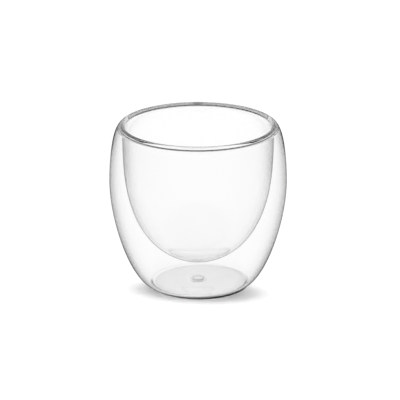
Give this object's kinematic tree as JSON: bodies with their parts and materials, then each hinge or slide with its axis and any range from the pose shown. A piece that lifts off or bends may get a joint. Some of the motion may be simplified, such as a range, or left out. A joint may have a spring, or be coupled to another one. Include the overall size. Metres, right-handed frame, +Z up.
{
  "type": "double walled glass cup",
  "caption": "Handleless double walled tumbler of clear glass: a thin bowl hangs by its fused lip inside a rounder shell, with sealed air between and a plugged vent in the base.",
  "frame": {"origin": "middle of the foot, on the surface that the cup stands on", "axes": "+Z up along the axis of the cup, through the mouth; the cup is round, so +X and +Y are any two directions square to it"},
  "size_m": [0.09, 0.09, 0.0845],
  "materials": {
    "bowl_glass": "fire polished clear borosilicate",
    "shell_glass": "fire polished clear borosilicate",
    "clear_silicone": "translucent, satin"
  },
  "bodies": {
    "root": {"inner_bowl": "bowl_glass", "outer_shell": "shell_glass", "vent_plug": "clear_silicone"}
  },
  "joints": []
}
